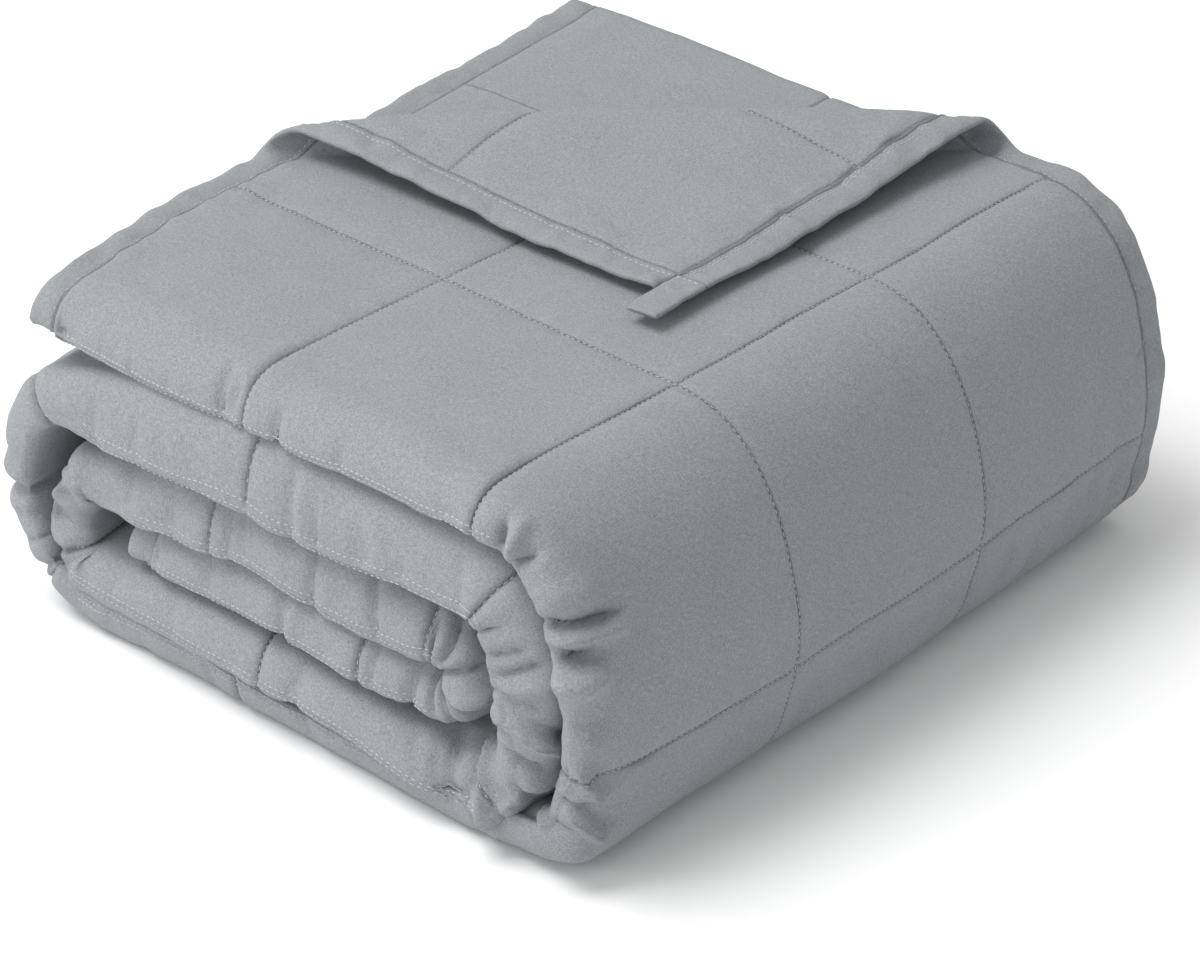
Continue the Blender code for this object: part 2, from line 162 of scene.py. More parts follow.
BROAD_FRONT = 0.5           # and how much more of it at the front
FRONT_WIDE = 52.0           # how far the front's own relief reaches from the crease, about
# where the roll turns the front is crushed: middle of the turn along u, half its length
CRUSHED = ((400.0, 95.0), (1262.0, 80.0), (1622.0, 60.0), (1918.0, 45.0))
CRUSH = 0.7                 # how much stronger gathers and dents are there
INNER_RELIEF = 0.6          # share of the relief that the inner face has
THINNEST_HALF = 0.9         # the cloth's half thickness is never less

# ---- sewing ----
STITCH_PITCH = 3.1
STITCH_LENGTH = 2.3
STITCH_THICK = 0.28         # half the thread's thickness
STITCH_WANDER = 0.18        # how far a stitch lies off its line
STITCH_LIFT = 0.10          # and above the cloth

NOISE_TABLE = 128           # random values along each side of the noise table
PROBE = 1.2                 # step to either side when the cloth's slope is measured


def unit(vectors):
    """Vectors brought to length 1."""
    return vectors / np.linalg.norm(vectors, axis=-1, keepdims=True).clip(1e-9)


def smooth(t):
    """Ease from 0 to 1 with level ends: three t squared less two t cubed."""
    t = np.clip(t, 0.0, 1.0)
    return t * t * (3.0 - 2.0 * t)


def fill_profile(t):
    """How a square fills from one seam to the next: a half sine wave raised to a low power."""
    return np.sin(np.pi * t).clip(0.0) ** FILL_POWER


def noise(x, y, seed):
    """Soft noise from -1 to 1: random values on whole-number points, blended with smooth steps."""
    size = NOISE_TABLE
    table = np.random.default_rng(seed).uniform(-1.0, 1.0, (size, size))
    x, y = np.broadcast_arrays(np.asarray(x, dtype=float), np.asarray(y, dtype=float))
    xi = np.floor(x).astype(int)
    yi = np.floor(y).astype(int)
    fx = smooth(x - xi)
    fy = smooth(y - yi)
    low = table[xi % size, yi % size] * (1 - fx) + table[(xi + 1) % size, yi % size] * fx
    high = table[xi % size, (yi + 1) % size] * (1 - fx) + table[(xi + 1) % size, (yi + 1) % size] * fx
    return low * (1 - fy) + high * fy


def distance_along(points):
    """Distance along a line of points: the running sum of the steps between them."""
    return np.concatenate([[0.0], np.cumsum(np.linalg.norm(np.diff(points, axis=0), axis=1))])


def roll_path():
    """Centre line of the rolled layers: level runs joined by half turns, each a superellipse whose fall
    may sag; resampled every millimetre, with unit normals and the distance along the outer ply."""
    xs = [np.array([START_X])]
    zs = [np.array([START_Z])]
    layer_z = START_Z
    for row in TURNS:
        turn = dict(zip(TURN_COLUMNS, row))
        run = np.linspace(xs[-1][-1], turn["start_x"], RUN_POINTS)[1:]
        xs.append(run)
        zs.append(np.full(run.size, layer_z))
        angle = np.linspace(0.0, np.pi, TURN_POINTS)[1:]
        fall = (1.0 - np.cos(angle)) / 2.0
        fall = fall + turn["sag"] * fall * (1.0 - fall)
        bulge = np.sin(angle).clip(0.0) ** (2.0 / turn["square"])
        xs.append(turn["start_x"] + turn["side"] * turn["reach"] * bulge)
        zs.append(layer_z + (turn["end_z"] - layer_z) * fall)
        layer_z = turn["end_z"]
    tail = np.linspace(xs[-1][-1], xs[-1][-1] - TAIL, round(TAIL) + 1)[1:]
    xs.append(tail)
    zs.append(np.full(tail.size, layer_z))
    centre = np.stack([np.concatenate(xs), np.concatenate(zs)], axis=1)
    along = distance_along(centre)
    even = np.arange(0.0, along[-1], 1.0)
    centre = np.stack([np.interp(even, along, centre[:, k]) for k in (0, 1)], axis=1)
    tangent = np.gradient(centre, axis=0)
    kernel = np.hanning(PATH_SMOOTHING)
    kernel = kernel / kernel.sum()
    margin = PATH_SMOOTHING // 2
    padded = np.pad(tangent, ((margin, margin), (0, 0)), mode="edge")
    tangent = unit(np.stack([np.convolve(padded[:, k], kernel, mode="valid") for k in (0, 1)], axis=1))
    normal = np.stack([-tangent[:, 1], tangent[:, 0]], axis=1)
    return {"u": distance_along(centre + PLY_PITCH * normal), "centre": centre, "normal": normal}


PATH = roll_path()


def turn_corner(u, v):
    """Roll the corner back over a cylinder and lay it down: beyond the fold line a point moves inwards by
    twice its distance, less the round, slides a little along the fold and settles to the resting height;
    the middle of the fold arches and the turned cloth ripples."""
    beyond = CORNER_FOLD - (CORNER_DIR[0] * u + CORNER_DIR[1] * v)
    half_round = np.pi * CORNER_ROLL
    on_roll = np.clip(beyond, 0.0, half_round) / CORNER_ROLL
    lying = np.maximum(beyond - half_round, 0.0)
    shift = beyond.clip(0.0) - CORNER_ROLL * np.sin(on_roll) + lying
    rest = CORNER_REST - 2.0 * CORNER_ROLL
    height = CORNER_ROLL * (1.0 - np.cos(on_roll)) + rest * smooth(lying / CORNER_SETTLE)
    along = CORNER_DIR[1] * u - CORNER_DIR[0] * v
    arch = (1.0 - (along / CORNER_HALF) ** 2).clip(0.0)
    hump = CORNER_HUMP * arch * smooth(on_roll / np.pi) * smooth(1.0 - lying / (2.0 * CORNER_SETTLE))
    height = height + hump
    skew = CORNER_SKEW * lying
    ripple = CORNER_RIPPLE * noise(u / CORNER_RIPPLE_WIDE, v / CORNER_RIPPLE_WIDE, 21)
    ripple = ripple * smooth((lying - 12.0) / 60.0)
    turned_u = u + CORNER_DIR[0] * shift + CORNER_DIR[1] * skew
    turned_v = v + CORNER_DIR[1] * shift - CORNER_DIR[0] * skew
    return turned_u, turned_v, height + ripple


def crease_quarter(wrap, pitch, share):
    """Depth, rise and length of the quarter ellipse on one side of the crease, which takes the share given
    of the whole height."""
    depth = CREASE + (wrap - CREASE) * share / 2.0
    rise = pitch * share
    return depth, rise, (np.pi / 2.0) * np.sqrt((depth ** 2 + rise ** 2) / 2.0)


def letter_fold(u, v):
    """Place v across the folded width: a quarter ellipse on each side of the front crease, flat plies, and
    a half circle where the inner ply turns back; returns y, height in the layer, drop and swell."""
    front = dict(zip(FRONT_COLUMNS, np.array(FRONT).T))
    values = {name: np.interp(u, front["along"], column) for name, column in front.items()}
    near_end = fill_profile((np.minimum(u, LENGTH - u) - BINDING).clip(0.0, CELL / 2.0) / CELL)
    pitch = PLY_PITCH * (END_SQUEEZE + (1.0 - END_SQUEEZE) * near_end)
    lean = values["lean"]
    from_crease = np.abs(v - FOLD_SEAM)
    outer = v < FOLD_SEAM
    depth, rise, arc = crease_quarter(values["wrap"], pitch, np.where(outer, 1.0 - lean, 1.0 + lean))
    turn = np.minimum(from_crease / arc, 1.0) * np.pi / 2.0
    y = depth * (1.0 - np.cos(turn)) + np.maximum(from_crease - arc, 0.0)
    w = pitch * lean + np.where(outer, 1.0, -1.0) * rise * np.sin(turn)
    inner_depth, _, inner_arc = crease_quarter(values["wrap"], pitch, 1.0 + lean)
    back_y = inner_depth + (BACK_SEAM - FOLD_SEAM) - inner_arc
    back_arc = np.pi * pitch / 2.0
    past = v - BACK_SEAM
    back_turn = np.clip(past / back_arc, 0.0, 1.0) * np.pi
    middle = np.clip((past - back_arc) / (WIDTH - BACK_SEAM - back_arc), 0.0, None)
    y_back = back_y + pitch / 2.0 * np.sin(back_turn) - middle * (back_y - HIDDEN_EDGE)
    w_back = -pitch / 2.0 * (1.0 + np.cos(back_turn))
    y = np.where(past > 0.0, y_back, y)
    w = np.where(past > 0.0, w_back, w)
    fade = smooth(1.0 - y / FRONT_REACH)
    swell = 1.0 + (values["swell"] - 1.0) * fade
    return y + values["crease_y"], w * swell, values["drop"] * fade, swell


def ease(u, v):
    """How far the cloth has slid along the roll, on its faces and, near the crease, at the front."""
    table = np.array(EASE)
    near = smooth(1.0 - np.abs(v - FOLD_SEAM) / EASE_REACH)
    face = np.interp(u, table[:, 0], table[:, 1])
    return face + near * (np.interp(u, table[:, 0], table[:, 2]) - face)


def fold_sheet(u, v):
    """Carry flat points to the folded, rolled blanket in millimetres: the letter fold gives y and the height
    in the layer, which is added along the roll's normal; then the pile's free end, lower plies and right
    side are moved along x as the values above say."""
    u = u + ease(u, v) + SEAM_WAVER * noise(u / 47.0, v / 61.0, 3)
    v = v + SEAM_WAVER * noise(u / 53.0, v / 43.0, 4)
    u, v, height = turn_corner(u, v)
    y, w, drop, _ = letter_fold(u, v)
    w = w + height
    x = np.interp(u, PATH["u"], PATH["centre"][:, 0]) + w * np.interp(u, PATH["u"], PATH["normal"][:, 0])
    z = np.interp(u, PATH["u"], PATH["centre"][:, 1]) + w * np.interp(u, PATH["u"], PATH["normal"][:, 1])
    at_crease = smooth(1.15 - np.abs(v - FOLD_SEAM) / 40.0)
    z = z - drop + CREASE_WAVER * at_crease * noise(u / 37.0, 2.5, 11)
    y = y + CREASE_WAVER * at_crease * noise(u / 31.0, 6.5, 12)
    drawn = DRAWN_IN * smooth(1.0 - u / DRAWN_LONG) * smooth(1.0 - y / DRAWN_WIDE)
    back = ((y - SLIP_FROM) / (WIDTH / 3.0 - SLIP_FROM)).clip(0.0)
    slip = np.where(v > FOLD_SEAM, SLIP * back * smooth(1.0 - u / SLIP_LONG), 0.0)
    right = smooth((x - RIGHT_FROM) / RIGHT_OVER)
    taper = TAPER * smooth((y - TAPER_FROM) / TAPER_OVER)
    flare = (FLARE + FRONT_FLARE * smooth(1.0 - y / FRONT_REACH)) * smooth(1.0 - z / FLARE_HIGH)
    bulge = BULGE * (1.0 - (y / BULGE_DEEP - 1.0) ** 2).clip(0.0)
    bulge = bulge * (1.0 - (z / BULGE_HIGH - 1.0) ** 2).clip(0.0)
    return np.stack([x + drawn - slip + right * (flare + bulge - taper), y, z], axis=-1)


def middle_and_normal(u, v):
    """The cloth's middle surface and its unit normal, the cross product of differences along v and u; the
    dents and listed folds push the surface along that normal."""
    along_u = fold_sheet(u + PROBE, v) - fold_sheet(u - PROBE, v)
    along_v = fold_sheet(u, v + PROBE) - fold_sheet(u, v - PROBE)
    normal = unit(np.cross(along_v, along_u))
    pushed = placed_folds(u, v) - dents(u, v)
    return fold_sheet(u, v) + normal * pushed[..., None], normal


def fullness(u, v):
    """How far a point is filled: 0 on every seam, 1 in the middle of a square that isn't squeezed."""
    filled = fill_profile((v - BINDING) / CELL % 1.0) * fill_profile((u - BINDING) / CELL % 1.0)
    swell = letter_fold(u, v)[3]
    return filled * ((swell * CROWN - SEAM) / (CROWN - SEAM)).clip(0.0, 1.0)


# listed folds: u, v, angle from the u direction in degrees, length, width, height (a dent is below 0)
FOLDS = (
    # the top layer's front and the rim of the right turn
    (134, 401, 84, 20, 2.6, -4.5), (141, 403, 98, 16, 2.4, -3.6), (168, 406, 90, 16, 2.6, -3.4),
    (205, 407, 80, 10, 2.4, -1.6), (297, 408, 74, 13, 2.4, -7), (304, 404, 62, 15, 3.6, 4.5),
    (312, 407, 112, 13, 2.4, -7), (345, 397, 100, 34, 2.1, -9.5), (334, 398, 104, 24, 6, 2.5),
    (351, 395, 98, 32, 3.4, 4.5), (357, 405, 100, 20, 2.4, -13), (367, 404, 90, 20, 6.5, 6),
    (385, 402, 80, 16, 4, -1.6), (416, 401, -31, 26, 2.4, 3.6), (411, 396, -31, 24, 4, -3.4),
    (446, 399, -39, 28, 2.4, 3.6), (440, 394, -39, 26, 4, -3.4), (430, 407, 90, 20, 3.2, -5),
    (495, 417, 0, 46, 3.4, -4), (452, 410, 60, 12, 2.6, -3), (468, 409, 90, 26, 7, 5),
    # below the cross seam of the right side
    (438, 36, 8, 50, 4, -2.2), (440, 54, -6, 46, 3.6, -2), (434, 74, 4, 42, 4, -2.2),
    (440, 97, -4, 46, 4, -2.2), (432, 120, 6, 40, 4, -1.9), (395, 40, 5, 36, 4, -1.7),
    (392, 64, -5, 30, 4, -1.4), (440, 170, 4, 40, 4, -1.8), (436, 216, -6, 36, 4, -1.5),
    (438, 263, 5, 40, 4, -1.9), (440, 302, -5, 36, 4, -1.5),
    # the lowest layer and the left turn
    (524, 420, 90, 16, 3, -1.8), (600, 418, 96, 14, 3, -1.6), (635, 409, 86, 18, 2.8, -2.6),
    (697, 405, 80, 12, 3, -1.8), (742, 402, 95, 16, 4, -1.6), (864, 404, 90, 60, 2.8, -8),
    (815, 402, 96, 46, 3, -5), (940, 400, 80, 40, 3, -4), (874, 402, 84, 30, 6, 1.8),
    (853, 400, 96, 28, 6, 1.6), (885, 396, 60, 20, 4, -1.6), (835, 398, 110, 20, 4, -1.8),
    # the second layer
    (985, 408, 84, 14, 3, -1.8), (1010, 405, 100, 12, 3, -1.4), (1096, 405, 88, 18, 2.8, -3),
    (1103, 402, 100, 16, 5, 1.4), (1150, 406, 80, 12, 3, -1.6), (1185, 404, 75, 14, 3, -2),
    # the inner right turn
    (1240, 405, 70, 14, 2.6, -4.5), (1250, 402, 62, 18, 2.4, -6), (1258, 399, 75, 20, 3, 3.2),
    (1266, 404, 80, 12, 2.6, -4), (1288, 396, -62, 44, 2.6, 6), (1281, 392, -62, 34, 4.4, -5),
    (1298, 407, 90, 14, 2.8, -6.5), (1306, 398, 60, 24, 2.6, 5), (1314, 407, 100, 14, 2.8, -5.5),
    (1322, 401, 120, 16, 3, -3),
    # the fifth layer, which the crease turns under
    (1334, 424, 131, 54, 3.6, 6.5), (1347, 430, 124, 48, 5.6, -7), (1364, 425, 92, 34, 3.4, -7),
    (1370, 421, 84, 20, 3, -3), (1380, 424, 70, 16, 3, -1.8), (1445, 418, 94, 20, 2.8, -2.8),
    (1520, 420, 80, 16, 3, -1.6),
    # the inner left turn and the third layer
    (1589, 405, 80, 14, 3, -2.4), (1632, 404, 88, 18, 2.6, -3.2), (1650, 402, 70, 18, 2.8, -2.8),
    (1660, 400, 96, 16, 4, 1.8), (1690, 400, 84, 20, 3.4, -2.4), (1712, 404, 96, 14, 3, -1.8),
    (1744, 405, 88, 16, 2.6, -2.8), (1752, 402, 80, 14, 2.4, -1.8), (1796, 403, 90, 24, 2.6, -4),
    (1833, 402, 74, 20, 2.6, -5), (1868, 405, 80, 18, 2.6, -6), (1880, 402, 66, 22, 2.6, -7),
    (1896, 406, 96, 24, 2.8, -8), (1910, 400, 66, 26, 3.4, 4.5), (1923, 410, 84, 26, 2.8, -8),
    (1936, 412, 100, 24, 3, -6),
    # the innermost layer
    (1950, 420, 80, 24, 2.6, -6), (1963, 419, 96, 24, 2.8, -5), (1987, 420, 90, 18, 2.8, -2.8),
    (2043, 421, 84, 28, 2.8, -3), (2036, 422, 88, 22, 4, 1.4), (2090, 420, 96, 14, 3, -1.8),
)


def placed_folds(u, v):
    """Sum of troughs and ridges, eased to nothing at their two ends: a ridge is a bell across its line, a
    trough falls to a sharp line as an exponential of the distance from it."""
    total = np.zeros(np.broadcast(u, v).shape)
    for u0, v0, angle, length, width, depth in FOLDS:
        a = math.radians(angle)
        along = (u - u0) * math.cos(a) + (v - v0) * math.sin(a)
        across = (v - v0) * math.cos(a) - (u - u0) * math.sin(a)
        apart = np.abs(across) / width
        shape = np.exp(-apart if depth < 0.0 else -apart ** 2)
        total = total + depth * shape * smooth(1.5 - np.abs(along) / length * 2.0)
    return total


def seam_distance(q):
    """Distance to the nearest sewn line, and that line's number."""
    t = (q - BINDING) / CELL
    index = np.round(t)
    return np.abs(t - index) * CELL, index


def front_share(v):
    """1 along the folded front, eased to 0 at some distance from its crease."""
    return smooth(1.35 - np.abs(v - FOLD_SEAM) / FRONT_WIDE)


def crushed(u, v):
    """How much the front is crushed by the turns of the roll, from 0 to 1."""
    most = sum(smooth(1.3 - np.abs(u - middle) / half) for middle, half in CRUSHED)
    return most * front_share(v)


def pinches(along, away, line, seed, spacing):
    """Narrow dents that start at a sewn line: deep where noise along the line passes zero, each slanted a
    little and as strong as a second, slower noise allows; they fade out over a short distance."""
    slant = along + PINCH_SLANT * away * noise(along / 31.0, line * 2.9, seed)
    narrow = np.exp(-(noise(slant / spacing, line * 3.1, seed + 1) / PINCH_NARROW) ** 2)
    strong = smooth(0.50 + 0.9 * noise(along / 29.0, line * 1.7, seed + 2))
    return narrow * strong * (1.0 - np.exp(-away / 1.5)) * np.exp(-((away / PINCH_REACH) ** 2))


def dents(u, v):
    """Depth of the pinches beside all sewn lines, stronger at the front, where it is crushed and beside the
    outer tapes, of the groove along a cross seam at the front, and of the waves beside the outer tapes."""
    du, iu = seam_distance(u)
    dv, iv = seam_distance(v)
    by_tape = smooth(1.6 - np.minimum(u, v) / TAPE_REACH)
    front = front_share(v)
    deep = (PINCH + (PINCH_FRONT - PINCH) * front) * (1.0 + CRUSH * crushed(u, v) + PINCH_BY_TAPE * by_tape)
    groove = GROOVE * front * np.exp(-((du / GROOVE_HALF) ** 2))
    wavy = TAPE_WAVE * by_tape * (noise(u / 12.0, v / 12.0, 81) + 0.5 * noise(u / 6.0, v / 6.0, 82))
    run_out = CROSS_SHARE * pinches(v, du, iu, 52, CROSS_APART) + pinches(u, dv, iv, 62, PINCH_APART)
    return deep * run_out + groove + wavy


def relief(u, v, side):
    """Small height on one side of the cloth: gathers that start at each sewn line and die away, fuller
    shoulders beside cross seams at the front, and uneven filling."""
    du, iu = seam_distance(u)
    dv, iv = seam_distance(v)
    front = front_share(v)
    gathers = (PUCKER + (PUCKER_FRONT - PUCKER) * front) * (1.0 + CRUSH * crushed(u, v))
    rise_u = du / PUCKER_PEAK * np.exp(1.0 - du / PUCKER_PEAK)
    rise_v = dv / PUCKER_PEAK * np.exp(1.0 - dv / PUCKER_PEAK)
    gather_u = 0.6 * noise(v / 11.0, iu * 3.7, 5 + side) + 0.4 * noise(v / 5.0, iu * 5.1, 6 + side)
    gather_v = 0.6 * noise(u / 11.0, iv * 3.3, 7 + side) + 0.4 * noise(u / 5.0, iv * 4.9, 8 + side)
    total = gathers * (rise_u * gather_u + rise_v * gather_v) + SHOULDER * (0.4 + 0.6 * front) * rise_u
    total = total + 0.4 * SHOULDER * (1.0 - front) * rise_v
    broad = BROAD * noise(u / 58.0, v / 49.0, 9 + side) + 0.35 * noise(u / 21.0, v / 24.0, 10 + side)
    broad = broad + BROAD_FRONT * front * noise(u / 26.0, v / 30.0, 71 + side)
    return total + broad * fullness(u, v)


def half_thickness(u, v, side):
    """Half the quilt's thickness, seam to crown, with the relief of that side, and never too thin."""
    half = (SEAM + (CROWN - SEAM) * fullness(u, v)) / 2.0
    share = 1.0 if side > 0 else INNER_RELIEF
    return np.maximum(half + share * relief(u, v, side), THINNEST_HALF)


def place(points):
    """From the roll's section to the part's frame, in metres, pressed flat on z = 0."""
    points = points - PLACE
    points[..., 2] = points[..., 2].clip(0.0)
    return points * MM


def cloth_point(u, v, side):
    """A point on the quilt's outer (+1) or inner (-1) face: the middle surface plus half the thickness."""
    middle, normal = middle_and_normal(u, v)
    return middle + side * normal * half_thickness(u, v, side)[..., None]


# ---- meshes ----
def inside_out(points, quads):
    """True where the volume under the quads' two triangles each, summed from the origin, is negative."""
    triangles = np.concatenate([quads[:, [0, 1, 2]], quads[:, [0, 2, 3]]])
    a, b, c = (points[triangles[:, k]] for k in range(3))
    return np.einsum("ij,ij->i", a, np.cross(b, c)).sum() < 0.0


def new_mesh(name, points, faces, uv):
    """A mesh from points in metres and lists of corners, shaded smooth, with one map place a point."""
    mesh = bpy.data.meshes.new(name)
    mesh.from_pydata(points.tolist(), [], faces)
    mesh.update(calc_edges=True)
    mesh.polygons.foreach_set("use_smooth", np.ones(len(mesh.polygons), dtype=bool))
    layer = mesh.uv_layers.new(name="cloth")
    corner = np.zeros(len(mesh.loops), dtype=np.int32)
    mesh.loops.foreach_get("vertex_index", corner)
    layer.data.foreach_set("uv", uv[corner].astype(np.float32).ravel())
    return mesh


def new_piece(name, mesh, material, *nodes, slot):
    """An object for a mesh: rides on the one body, stands for CAD nodes and takes a finish."""
    piece = bpy.data.objects.new(name, mesh)
    bpy.context.scene.collection.objects.link(piece)
    mesh.materials.append(material)
    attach(piece, "root")
    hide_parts(*nodes)
    return piece


def slab_quads(nu, nv):
    """Quads of two nu by nv grids, outer then inner, and of the wall between their borders."""
    index = np.arange(nu * nv).reshape(nu, nv)
    outer = np.stack([index[:-1, :-1], index[:-1, 1:], index[1:, 1:], index[1:, :-1]], -1).reshape(-1, 4)
    inner = outer[:, ::-1] + nu * nv
    rim = np.concatenate([index[:, 0], index[-1, 1:], index[-2::-1, -1], index[0, -2:0:-1]])
    after = np.roll(rim, -1)
    wall = np.stack([rim, after, after + nu * nv, rim + nu * nv], -1)
    return np.concatenate([outer, inner, wall])


def slab(name, u_lines, v_lines, face):
    """A closed padded sheet over the lines given: face(u, v, side) is its outer and its inner surface."""
    u, v = np.meshgrid(np.array(u_lines), np.array(v_lines), indexing="ij")
    points = place(np.concatenate([face(u, v, 1).reshape(-1, 3), face(u, v, -1).reshape(-1, 3)]))
    uv = np.tile(np.stack([u, v], -1).reshape(-1, 2) * MM, (2, 1))
    quads = slab_quads(*u.shape)
    if inside_out(points, quads):
        quads = quads[:, ::-1]
    return new_mesh(name, points, quads.tolist(), uv)


def ring_tube(name, ring_points, uv):
    """A closed tube: rings of points along a path, joined by quads and closed by one face at each end."""
    count, around, _ = ring_points.shape
    index = np.arange(count * around).reshape(count, around)
    after = np.roll(index, -1, axis=1)
    quads = np.stack([index[:-1], after[:-1], after[1:], index[1:]], -1).reshape(-1, 4)
    points = place(ring_points.reshape(-1, 3))
    faces = quads.tolist() + [index[0][::-1].tolist(), index[-1].tolist()]
    if inside_out(points, quads):
        faces = [face[::-1] for face in faces]
    return new_mesh(name, points, faces, uv.reshape(-1, 2) * MM)


# ---- lines of the grids ----
NEAR_SEAM = (0.0, 0.8, 1.8, 3.0, 4.5, 6.5, 9.0, 12.0, 15.5, 19.5, 24.0)


def cell_lines(first, step, count=1, near=NEAR_SEAM):
    """Grid lines through whole squares: close together beside the seams, then step apart."""
    near = np.array(near)
    between = np.linspace(near[-1], CELL - near[-1], max(2, round((CELL - 2 * near[-1]) / step)) + 1)[1:-1]
    one = np.concatenate([near, between, CELL - near[::-1]])
    return np.unique(np.concatenate([first + CELL * k + one for k in range(count)]))


def front_lines(reach, step):
    """Grid lines on both sides of the front crease: fine at the seam, then step apart out to reach."""
    near = np.array(NEAR_SEAM[:6])
    side = np.concatenate([near, np.arange(near[-1] + step, reach, step)])
    return np.unique(np.concatenate([FOLD_SEAM - side, FOLD_SEAM + side]))


def join_lines(*groups):
    """Merge line lists in order, leaving out any line closer than 0.3 to the last one."""
    merged = np.unique(np.concatenate(groups))
    keep = np.concatenate([[True], np.diff(merged) > 0.3])
    return merged[keep]


def coarse(start, end, step):
    """Even grid lines from start to end, about a step apart."""
    return np.linspace(start, end, max(1, round((end - start) / step)) + 1)


QUILT_EDGE = 1.2            # how far the quilt runs on under the tape
V_START = BINDING - QUILT_EDGE
V_END = WIDTH - BINDING + QUILT_EDGE
FRONT_FINE = 66.0           # how far from the crease the grid stays fine
BACK_FROM = BACK_SEAM - 20.0
BACK_TO = BACK_SEAM + 40.0
BACK_FOLD = coarse(BACK_FROM, BACK_TO, 4.0)
HIDDEN = coarse(BACK_TO, V_END, 26.0)


def across_lines(outer, inner):
    """Lines across the blanket: the outer ply, the front crease, the inner ply, the back fold and the
    hidden ply."""
    outer = outer[outer < FOLD_SEAM - FRONT_FINE]
    inner = inner[(inner > FOLD_SEAM + FRONT_FINE) & (inner < BACK_FROM - 2.0)]
    return join_lines(np.array([V_START]), outer, front_lines(FRONT_FINE, 2.4), inner, BACK_FOLD, HIDDEN)


